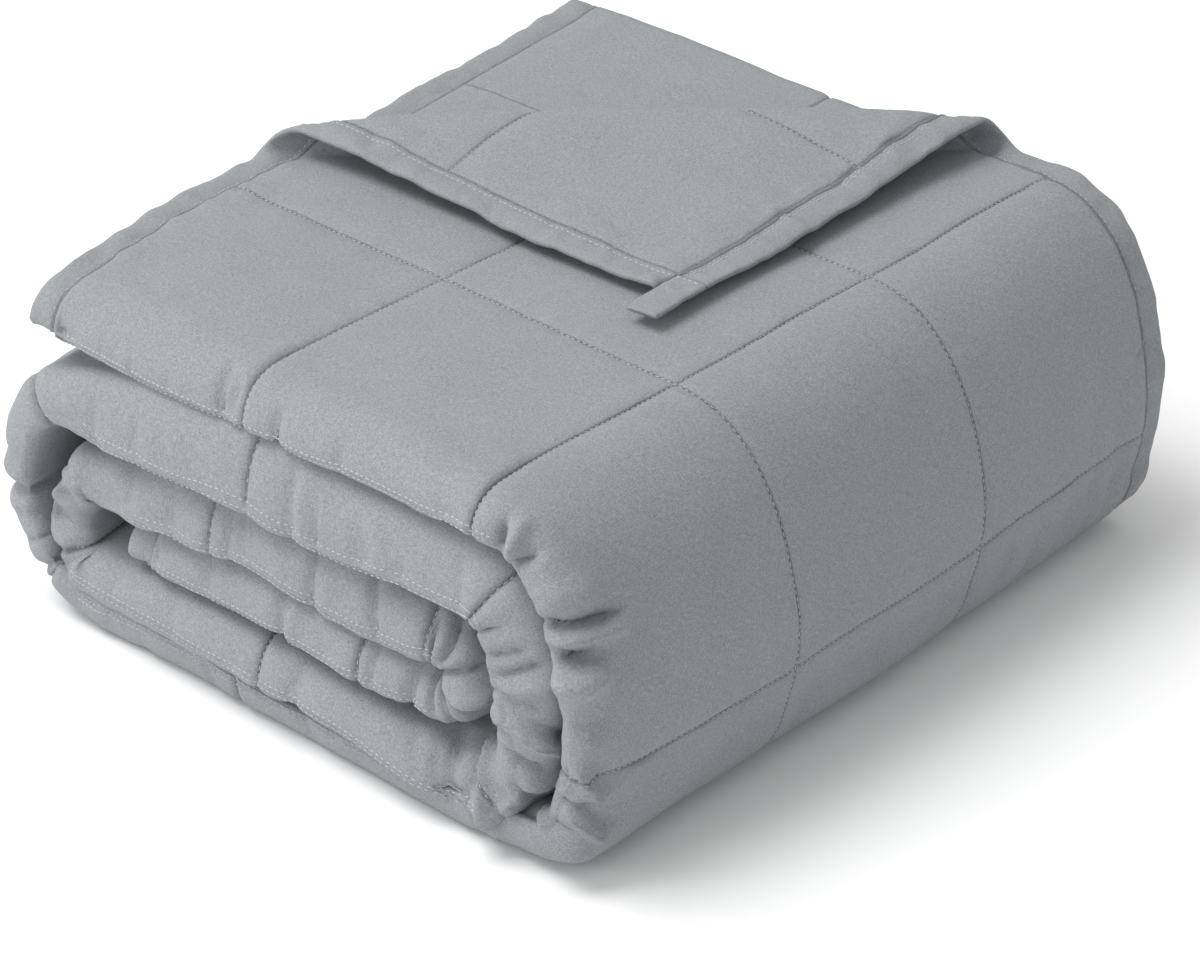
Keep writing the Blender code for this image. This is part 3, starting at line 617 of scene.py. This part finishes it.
# ---- finishes ----
def cloth_group():
    """Brushed plain-woven cloth: threads both ways on the piece's own map, fibres, slow mottling and painted
    shade on the sewn lines, darkening the colour as the shade in their grooves would. Puts out a colour, a
    roughness and a normal."""
    group = bpy.data.node_groups.new("brushed_cloth", "ShaderNodeTree")
    for way, kind, labels in (
            ("INPUT", "NodeSocketColor", ("Shade",)),
            ("INPUT", "NodeSocketFloat", ("Thread Count", "Mottling", "Grain", "Painted Shade On Seams", "Relief")),
            ("OUTPUT", "NodeSocketColor", ("Color",)),
            ("OUTPUT", "NodeSocketFloat", ("Roughness",)),
            ("OUTPUT", "NodeSocketVector", ("Normal",))):
        for label in labels:
            group.interface.new_socket(name=label, in_out=way, socket_type=kind)
    nodes, links = group.nodes, group.links
    given = nodes.new("NodeGroupInput")
    out = nodes.new("NodeGroupOutput")
    where = nodes.new("ShaderNodeTexCoord")

    def feed(socket, value):
        """Set a socket to a number, or link it."""
        if isinstance(value, float):
            socket.default_value = value
        else:
            links.new(value, socket)

    def math_node(operation, a, b=0.0):
        """One step of arithmetic on one or two values."""
        made = nodes.new("ShaderNodeMath")
        made.operation = operation
        feed(made.inputs[0], a)
        feed(made.inputs[1], b)
        return made.outputs[0]

    def noise_node(scale, detail, vector, roughness=0.6):
        """Cloudy noise from 0 to 1 over a vector."""
        made = nodes.new("ShaderNodeTexNoise")
        made.inputs["Detail"].default_value = detail
        made.inputs["Roughness"].default_value = roughness
        feed(made.inputs["Scale"], scale)
        links.new(vector, made.inputs["Vector"])
        return made.outputs["Fac"]

    def stretched(x, y, vector):
        """A vector with x and y multiplied."""
        made = nodes.new("ShaderNodeVectorMath")
        made.operation = "MULTIPLY"
        made.inputs[1].default_value = (x, y, 1.0)
        links.new(vector, made.inputs[0])
        return made.outputs[0]

    def painted_shade_mask():
        """Where the sewn lines get their painted shade: 1 on the sewn lines of the flat blanket, which lie a
        square apart on the map, 0 from 1.3 mm beside them, along the front crease and at the inner end."""
        split = nodes.new("ShaderNodeSeparateXYZ")
        links.new(where.outputs["UV"], split.inputs[0])
        nearest = []
        for axis in (0, 1):
            inside = math_node("SUBTRACT", split.outputs[axis], BINDING * MM)
            squares = math_node("DIVIDE", inside, CELL * MM)
            part = math_node("FRACT", math_node("ADD", squares, 0.5))
            nearest.append(math_node("ABSOLUTE", math_node("SUBTRACT", part, 0.5)))
        fade = nodes.new("ShaderNodeMapRange")
        fade.interpolation_type = "SMOOTHSTEP"
        links.new(math_node("MINIMUM", nearest[0], nearest[1]), fade.inputs["Value"])
        for label, value in (("From Min", 0.3 / CELL), ("From Max", 1.3 / CELL),
                             ("To Min", 1.0), ("To Max", 0.0)):
            fade.inputs[label].default_value = value
        from_crease = math_node("ABSOLUTE", math_node("SUBTRACT", split.outputs[1], FOLD_SEAM * MM))
        off_crease = math_node("GREATER_THAN", from_crease, 2.0 * MM)
        off_end = math_node("LESS_THAN", split.outputs[0], (LENGTH - 2.0 * BINDING) * MM)
        return math_node("MULTIPLY", fade.outputs["Result"], math_node("MULTIPLY", off_crease, off_end))

    warp = noise_node(given.outputs["Thread Count"], 1.0, stretched(1.0, 0.22, where.outputs["UV"]))
    weft = noise_node(given.outputs["Thread Count"], 1.0, stretched(0.22, 1.0, where.outputs["UV"]))
    fibres = noise_node(1500.0, 3.0, where.outputs["Object"], 0.7)
    slow = noise_node(38.0, 3.0, where.outputs["Object"])
    cloudy = noise_node(240.0, 3.0, where.outputs["Object"])
    threads = math_node("ADD", warp, weft)
    height = math_node("ADD", math_node("MULTIPLY", threads, 0.3), fibres)
    tone = math_node("ADD", math_node("MULTIPLY", slow, 0.6), math_node("MULTIPLY", cloudy, 0.4))
    tone = math_node("SUBTRACT", tone, 0.5)
    grain = math_node("MULTIPLY", math_node("SUBTRACT", height, 0.8), given.outputs["Grain"])
    change = math_node("ADD", math_node("MULTIPLY", tone, given.outputs["Mottling"]), grain)
    # painted shade: the colour is darkened on the sewn lines, standing in for the shade in their grooves
    seams = math_node("MULTIPLY", painted_shade_mask(), given.outputs["Painted Shade On Seams"])
    factor = math_node("SUBTRACT", math_node("ADD", change, 1.0), seams)
    shade = nodes.new("ShaderNodeVectorMath")
    shade.operation = "SCALE"
    links.new(given.outputs["Shade"], shade.inputs[0])
    links.new(factor, shade.inputs["Scale"])
    links.new(shade.outputs[0], out.inputs["Color"])
    rough = math_node("ADD", math_node("MULTIPLY", fibres, 0.12), 0.84)
    links.new(rough, out.inputs["Roughness"])
    bump = nodes.new("ShaderNodeBump")
    bump.inputs["Distance"].default_value = 0.0006
    links.new(given.outputs["Relief"], bump.inputs["Strength"])
    links.new(height, bump.inputs["Height"])
    links.new(bump.outputs["Normal"], out.inputs["Normal"])
    return group


CLOTH = cloth_group()


def cloth_material(name, shade, thread_count, mottling, grain, painted_shade_on_seams, relief_depth, sheen):
    """Matt cloth: the shared cloth pattern feeds colour, roughness and normal; a faint sheen of fibres."""
    made = bpy.data.materials.new(name)
    made.use_nodes = True
    made.diffuse_color = shade
    nodes, links = made.node_tree.nodes, made.node_tree.links
    surface = nodes["Principled BSDF"]
    group = nodes.new("ShaderNodeGroup")
    group.node_tree = CLOTH
    for label, value in (("Shade", shade), ("Thread Count", thread_count), ("Mottling", mottling),
                         ("Grain", grain), ("Painted Shade On Seams", painted_shade_on_seams), ("Relief", relief_depth)):
        group.inputs[label].default_value = value
    for label, socket in (("Color", "Base Color"), ("Roughness", "Roughness"), ("Normal", "Normal")):
        links.new(group.outputs[label], surface.inputs[socket])
    surface.inputs["Specular IOR Level"].default_value = 0.18
    surface.inputs["Sheen Weight"].default_value = sheen
    surface.inputs["Sheen Roughness"].default_value = 0.55
    return made


# the quilt's colour carries painted shade on its sewn lines; the tape and the thread carry none
QUILT_CLOTH = cloth_material("quilt_cloth", (0.303, 0.321, 0.335, 1.0), thread_count=1700.0, mottling=0.22,
                             grain=1.30, painted_shade_on_seams=0.33, relief_depth=0.8, sheen=0.10)
TAPE_CLOTH = cloth_material("edge_tape_cloth", (0.297, 0.315, 0.329, 1.0), thread_count=1900.0, mottling=0.2,
                            grain=1.15, painted_shade_on_seams=0.0, relief_depth=0.8, sheen=0.10)
THREAD = cloth_material("sewing_thread", (0.540, 0.560, 0.572, 1.0), thread_count=6000.0, mottling=0.05,
                        grain=0.20, painted_shade_on_seams=0.0, relief_depth=0.3, sheen=0.15)


# ---- quilt ----
inner_ply = coarse(FOLD_SEAM, BACK_SEAM, 12.0)
shown = across_lines(cell_lines(BINDING, 4.0, 3), cell_lines(FOLD_SEAM, 9.0, 3, NEAR_SEAM[::2]))
plain = across_lines(cell_lines(BINDING, 8.0, 3, NEAR_SEAM[::2]), inner_ply)
rolled_in = across_lines(coarse(V_START, FOLD_SEAM, 12.0), inner_ply)
rim_of_turn = coarse(292.0, 376.0, 1.1)
# the quilt's lengths: name, first square, squares, lines across, added lines along
QUILT_LENGTHS = (
    ("quilt_top_free_end", 0, 2, shown, [V_START]),
    ("quilt_right_turn", 2, 2, shown, rim_of_turn),
    ("quilt_base_and_left_turn", 4, 3, plain, []),
    ("quilt_second_round", 7, 4, rolled_in, []),
    ("quilt_inner_round", 11, 5, rolled_in, [LENGTH - BINDING + QUILT_EDGE]),
)
for label, first, count, v_lines, added in QUILT_LENGTHS:
    u_lines = join_lines(cell_lines(BINDING + CELL * first, 2.2, count, NEAR_SEAM[:7]), added)
    piece = new_piece(label, slab(label, u_lines, v_lines, cloth_point), QUILT_CLOTH, "quilt",
                      slot="quilted_cloth")


# ---- edge tape ----
# half section of the tape folded over the raw edge, with the dip where it is sewn: distance from the edge,
# half thickness
TAPE_SECTION = np.array([
    (0.0, 0.0), (0.25, 0.85), (0.9, 1.35), (2.4, 1.75), (5.0, 1.95), (8.5, 1.9), (11.4, 1.65),
    (12.9, 1.30), (13.5, 1.16), (14.1, 1.28), (15.0, 1.55), (15.9, 1.62), (16.1, 1.2),
])
TAPE_SEW = 13.5             # from the edge to the sewing


def tape_half(s, along, side):
    """Half thickness of the tape at distance s from its edge, gathered a little along the sewing."""
    base = np.interp(s, TAPE_SECTION[:, 0], TAPE_SECTION[:, 1])
    gather = 0.45 * noise(along / 5.5, 1.0 + side, 31) + 0.35 * noise(along / 14.0, 4.0 + side, 32)
    return base * (1.0 + gather * np.sin(np.pi * (s / 16.0)).clip(0.0))


def tape(name, along, edge, node):
    """Tape round one edge: edge(along, s) gives the flat place of a section point s from the edge."""
    s = np.concatenate([TAPE_SECTION[:, 0], TAPE_SECTION[-1:0:-1, 0]])
    side = np.concatenate([np.ones(len(TAPE_SECTION)), -np.ones(len(TAPE_SECTION) - 1)])
    a, ss = np.meshgrid(np.array(along), s, indexing="ij")
    u, v = edge(a, ss)
    middle, normal = middle_and_normal(u, v)
    half = np.where(side > 0, tape_half(ss, a, 1), -tape_half(ss, a, -1))
    points = middle + normal * half[..., None]
    mesh = ring_tube(name, points, np.stack([a, ss], -1))
    return new_piece(name, mesh, TAPE_CLOTH, node, slot="binding_tape")


def side_edge(a, s):
    """Flat place on the outer side edge: a along it, s from it."""
    return a, s


def tucked_side_edge(a, s):
    """The same on the tucked side edge."""
    return a, WIDTH - s


def free_end_edge(a, s):
    """The same on the free end."""
    return s, a


def inner_end_edge(a, s):
    """The same on the end inside the roll."""
    return LENGTH - s, a


side_lines = join_lines(coarse(BINDING - 0.4, 620.0, 2.2), coarse(620.0, LENGTH, 4.0))
free_end_lines = join_lines(coarse(BINDING + 0.4, 520.0, 2.2), coarse(520.0, WIDTH, 4.0))
inner_end_lines = join_lines(coarse(0.0, 330.0, 6.0), coarse(330.0, 500.0, 2.5), coarse(500.0, WIDTH, 6.0))
TAPES = (
    ("edge_tape_side", side_lines, side_edge, "binding_side"),
    ("edge_tape_tucked_side", coarse(0.0, LENGTH, 9.0), tucked_side_edge, "binding_side_inner"),
    ("edge_tape_free_end", free_end_lines, free_end_edge, "binding_end"),
    ("edge_tape_inner_end", inner_end_lines, inner_end_edge, "binding_end_inner"),
)
for row in TAPES:
    tape(*row)


# ---- flat loop at the corner ----
LOOP_TIP = LOOP_ROOT - LOOP_LENGTH
LOOP_EDGE_HALF = 0.15       # half thickness of its thinnest edge, and how much more its middle has
LOOP_HALF = 1.45


def loop_point(u, v, side):
    """Doubled tape: level, with rounded long edges and a rounded far end."""
    middle, normal = middle_and_normal(u, v)
    across = 1.0 - np.abs(v / (BINDING / 2.0) - 1.0) ** 8
    end = smooth((u - LOOP_TIP) / 1.6) ** 0.5
    half = LOOP_EDGE_HALF + LOOP_HALF * across.clip(0.0) ** 0.5 * end
    half = half + 0.10 * noise(u / 5.0, v / 6.0, 33 + side)
    return middle + side * normal * np.maximum(half, 0.12)[..., None]


loop_u = np.concatenate([np.array([0.0, 0.3, 0.8, 1.6]) + LOOP_TIP, coarse(LOOP_TIP + 2.6, LOOP_ROOT, 1.2)])
loop_v = np.concatenate([[0.0, 0.15, 0.5, 1.1], coarse(2.0, 14.0, 1.1), [14.9, 15.5, 15.85, 16.0]])
loop = new_piece("corner_loop_tape", slab("corner_loop_tape", loop_u, loop_v, loop_point), TAPE_CLOTH,
                 "corner_loop", slot="binding_tape")


# ---- sewing ----
# one stitch: a tip, two square rings and a tip, along x, of unit half length and unit thickness
STITCH_SHAPE = np.array([
    (-1.0, 0.0, -0.9),
    (-0.55, 1.0, 0.0), (-0.55, 0.0, 1.0), (-0.55, -1.0, 0.0), (-0.55, 0.0, -1.0),
    (0.55, 1.0, 0.0), (0.55, 0.0, 1.0), (0.55, -1.0, 0.0), (0.55, 0.0, -1.0),
    (1.0, 0.0, -0.9),
])
STITCH_SIDES = np.array([(1, 2, 6, 5), (2, 3, 7, 6), (3, 4, 8, 7), (4, 1, 5, 8)])
STITCH_TIPS = np.array([(0, 2, 1), (0, 3, 2), (0, 4, 3), (0, 1, 4),
                        (9, 5, 6), (9, 6, 7), (9, 7, 8), (9, 8, 5)])


def stitch_row(u, v, side, surface):
    """Points of the stitches along one flat line: centres a pitch apart, each turned along the line and
    laid on the face."""
    length = distance_along(np.stack([u, v], axis=-1))
    centres = np.arange(STITCH_PITCH, length[-1] - STITCH_PITCH, STITCH_PITCH)
    wander = STITCH_WANDER * noise(centres / 9.0, length[-1] % 97.0, 41)
    at_u, at_v = (np.interp(centres, length, q) for q in (u, v))
    du = np.interp(centres + 1.0, length, u) - at_u
    dv = np.interp(centres + 1.0, length, v) - at_v
    size = np.hypot(du, dv)
    at_u = at_u - dv / size * wander
    at_v = at_v + du / size * wander
    point = surface(at_u, at_v, side)
    forward = unit(surface(at_u + du, at_v + dv, side) - surface(at_u - du, at_v - dv, side))
    normal = middle_and_normal(at_u, at_v)[1] * side
    normal = unit(normal - forward * np.sum(normal * forward, axis=-1, keepdims=True))
    across = np.cross(normal, forward)
    long_half = STITCH_LENGTH / 2.0 * (1.0 + 0.15 * noise(centres / 4.0, 3.0, 42))
    shape = STITCH_SHAPE
    return (point[:, None, :] + normal[:, None, :] * STITCH_LIFT
            + forward[:, None, :] * (shape[:, 0] * long_half[:, None])[..., None]
            + across[:, None, :] * (shape[:, 1] * STITCH_THICK)[None, :, None]
            + normal[:, None, :] * (shape[:, 2] * STITCH_THICK)[None, :, None])


def stitches(name, rows, surface, node, slot):
    """All stitches of several flat lines as one mesh."""
    points = np.concatenate([stitch_row(np.array(u, float), np.array(v, float), side, surface)
                             for u, v, side in rows])
    count = len(points)
    base = np.arange(count)[:, None, None] * len(STITCH_SHAPE)
    sides = (STITCH_SIDES[None] + base).reshape(-1, 4)
    tips = (STITCH_TIPS[None] + base).reshape(-1, 3)
    vertices = place(points.reshape(-1, 3))
    first = vertices[:len(STITCH_SHAPE)]
    if inside_out(first - first.mean(axis=0), STITCH_SIDES):
        sides = sides[:, ::-1]
        tips = tips[:, ::-1]
    mesh = new_mesh(name, vertices, sides.tolist() + tips.tolist(), vertices[:, :2])
    piece = new_piece(name, mesh, THREAD, node, slot=slot)


def line_u(v, start, end):
    """A sewn line along the blanket at distance v."""
    u = np.arange(start, end, 2.0)
    return u, np.full(u.shape, v)


def line_v(u, start, end):
    """A sewn line across the blanket at distance u."""
    v = np.arange(start, end, 2.0)
    return np.full(v.shape, u), v


def tape_point(u, v, side):
    """A point on the tape's face, for whichever edge is nearest."""
    middle, normal = middle_and_normal(u, v)
    from_side = np.minimum(v, WIDTH - v)
    from_end = np.minimum(u, LENGTH - u)
    s = np.minimum(from_side, from_end)
    along = np.where(from_side < from_end, u, v)
    return middle + side * normal * tape_half(s, along, side)[..., None]


# the front crease shows two rows where it runs level: start, end, how far the second row lies from it
CREASE_ROWS = ((BINDING, 296.0, -2.2), (530.0, 790.0, -2.2), (975.0, 1222.0, -2.2), (1345.0, 1590.0, 2.2),
               (1690.0, 1880.0, -2.2), (1950.0, LENGTH - BINDING, 2.2))
# how far the rows run: across to the front's inner ply, across the front only, along the outermost round,
# and on the backing that the turned corner shows
INNER_PLY_SHOWN = 520.0
FRONT_FROM = 300.0
FRONT_TO = 500.0
OUTER_ROUND = 1000.0
CORNER_SHOWN = 180.0
quilt_rows = []
# cross seams: whole where the outer ply shows, short where only the front does
for k in range(1, 4):
    quilt_rows.append((*line_v(BINDING + CELL * k, BINDING, INNER_PLY_SHOWN), 1))
for k in range(4, CELLS_LONG):
    quilt_rows.append((*line_v(BINDING + CELL * k, FRONT_FROM, FRONT_TO), 1))
for k in (4, 5, 6, 7):
    quilt_rows.append((*line_v(BINDING + CELL * k, BINDING, FRONT_FROM), 1))
# seams along the blanket, as far as the outermost round shows them
for k in (1, 2):
    quilt_rows.append((*line_u(BINDING + CELL * k, BINDING, OUTER_ROUND), 1))
for start, end, second in CREASE_ROWS:
    quilt_rows.append((*line_u(FOLD_SEAM, start, end), 1))
    quilt_rows.append((*line_u(FOLD_SEAM + second, start + 2.0, end), 1))
quilt_rows.append((*line_u(BACK_SEAM, BINDING, LENGTH - BINDING), 1))
# the backing's seams on the turned corner
quilt_rows.append((*line_v(BINDING + CELL, BINDING, CORNER_SHOWN), -1))
quilt_rows.append((*line_u(BINDING + CELL, BINDING, CORNER_SHOWN), -1))
stitches("quilting_stitches", quilt_rows, cloth_point, "quilt", "quilted_cloth")

TAPE_ROWS_APART = 2.1       # the turned-back tape shows a second row this far from the first
tape_rows = [
    (*line_u(TAPE_SEW, BINDING, LENGTH - BINDING), 1),
    (*line_u(TAPE_SEW, BINDING, 260.0), -1),
    (*line_u(TAPE_SEW - TAPE_ROWS_APART, BINDING, 200.0), -1),
    (*line_v(TAPE_SEW, BINDING, 560.0), 1),
    (*line_v(TAPE_SEW, BINDING, 260.0), -1),
]
stitches("tape_stitches", tape_rows, tape_point, "binding_side", "binding_tape")

loop_rows = [(*line_v(LOOP_ROOT - 2.0, 1.0, 17.5), side) for side in (-1, 1)]
stitches("loop_stitches", loop_rows, loop_point, "corner_loop", "binding_tape")


# ---- floor, light and camera ----
FLOOR_HALF = 6.0
FLOOR_DROP = 0.0003         # the floor lies a hair under the blanket
AIM = np.array([0.0, 0.0, 0.08])
SKY_STRENGTH = 0.55
# lamp, place, side of its square, watts
LAMPS = (("key", (-1.6, -1.25, 4.1), 2.6, 152.0), ("fill", (-0.9, -2.6, 0.9), 1.4, 21.0))


def set_axes(thing, right, up, back, spot):
    """Place a lamp or camera by three axes at right angles and its spot."""
    rows = [(right[k], up[k], back[k], spot[k]) for k in range(3)]
    thing.matrix_world = Matrix(rows + [(0.0, 0.0, 0.0, 1.0)])
    bpy.context.scene.collection.objects.link(thing)


def studio():
    """A plain pale floor, a broad light from high on the left, a weak fill from low on the left in front
    and an even white sky."""
    floor = bpy.data.materials.new("pale_floor")
    floor.use_nodes = True
    surface = floor.node_tree.nodes["Principled BSDF"]
    surface.inputs["Base Color"].default_value = (0.98, 0.98, 0.98, 1.0)
    surface.inputs["Roughness"].default_value = 0.75
    surface.inputs["Specular IOR Level"].default_value = 0.1
    mesh = bpy.data.meshes.new("floor")
    half = FLOOR_HALF
    corners = ((-half, -half), (half, -half), (half, half), (-half, half))
    mesh.from_pydata([(x, y, -FLOOR_DROP) for x, y in corners], [], [(0, 1, 2, 3)])
    mesh.materials.append(floor)
    ground = bpy.data.objects.new("floor", mesh)
    bpy.context.scene.collection.objects.link(ground)

    world = bpy.data.worlds.new("studio")
    world.use_nodes = True
    sky = world.node_tree.nodes["Background"]
    sky.inputs["Color"].default_value = (1.0, 1.0, 1.0, 1.0)
    sky.inputs["Strength"].default_value = SKY_STRENGTH
    bpy.context.scene.world = world

    for label, spot, size, power in LAMPS:
        lamp = bpy.data.lights.new(label, "AREA")
        lamp.shape = "SQUARE"
        lamp.size = size
        lamp.energy = power
        back = unit(np.array(spot) - AIM)
        right = unit(np.cross((0.0, 0.0, 1.0), back))
        set_axes(bpy.data.objects.new(label, lamp), right, np.cross(back, right), back, spot)


PHOTO_WIDTH = 1200.0        # pixels
PHOTO_HEIGHT = 959.0
FOCAL_PX = 4547.5           # focal length in the photograph's pixels
CENTRE_PX = (611.1, 426.7)  # the picture's optical centre, in its pixels
VIEW_AZIMUTH = 41.55        # degrees
VIEW_ELEVATION = 29.86
VIEW_ROLL = 1.12
VIEW_TARGET = np.array([180.0, 200.0, 80.0]) - PLACE
VIEW_DISTANCE = 2067.7
SENSOR = 36.0


def photo_camera():
    """The camera at the photograph's angle: azimuth from the front, elevation, a slight roll."""
    lens = bpy.data.cameras.new("photo_view")
    lens.sensor_width = SENSOR
    lens.sensor_fit = "HORIZONTAL"
    lens.lens = SENSOR * FOCAL_PX / PHOTO_WIDTH
    lens.shift_x = (PHOTO_WIDTH / 2.0 - CENTRE_PX[0]) / PHOTO_WIDTH
    lens.shift_y = (CENTRE_PX[1] - PHOTO_HEIGHT / 2.0) / PHOTO_WIDTH
    lens.clip_start = 0.05
    lens.clip_end = 50.0
    a, e, r = (math.radians(value) for value in (VIEW_AZIMUTH, VIEW_ELEVATION, VIEW_ROLL))
    back = np.array([math.sin(a) * math.cos(e), -math.cos(a) * math.cos(e), math.sin(e)])
    right = np.array([math.cos(a), math.sin(a), 0.0])
    up = np.cross(back, right)
    turned_right = math.cos(r) * right + math.sin(r) * up
    turned_up = -math.sin(r) * right + math.cos(r) * up
    spot = (VIEW_TARGET + VIEW_DISTANCE * back) * MM
    camera = bpy.data.objects.new("photo_view", lens)
    set_axes(camera, turned_right, turned_up, back, spot)
    bpy.context.scene.camera = camera


studio()
photo_camera()
bpy.context.scene.view_settings.view_transform = "Standard"

bpy.context.view_layer.update()
